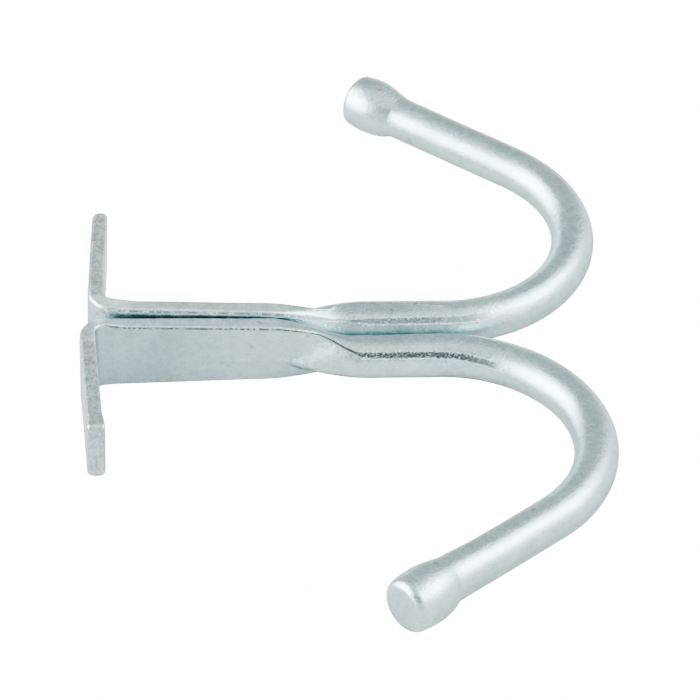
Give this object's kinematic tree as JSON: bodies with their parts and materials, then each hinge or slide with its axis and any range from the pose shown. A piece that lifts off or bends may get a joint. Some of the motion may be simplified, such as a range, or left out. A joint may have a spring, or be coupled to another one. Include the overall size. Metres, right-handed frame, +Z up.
{
  "type": "frame grip",
  "caption": "Pair of forged steel lifting hooks laid back to back, each a round bar bent to a knob-ended U at one end and flattened to a strap with a square foot at the other.",
  "frame": {"origin": "on the floor under the middle of the pair's box, with the hooks lying on their sides, back to back", "axes": "+Z up from the floor, along the straps' width; +X along the shanks from the feet towards the Us; +Y the way the far hook's U and foot open"},
  "size_m": [0.097, 0.155, 0.0155],
  "materials": {
    "zinc_plate": "bright zinc plate over forged mild steel, satin, faintly mottled"
  },
  "bodies": {
    "far_hook": {"far_hook": "zinc_plate"},
    "near_hook": {"near_hook": "zinc_plate"}
  },
  "joints": [
    {"name": "near_hook_aside", "type": "slide", "parent": "far_hook", "child": "near_hook", "axis": [0, -1, 0], "range_m": [0, 0.1]}
  ]
}
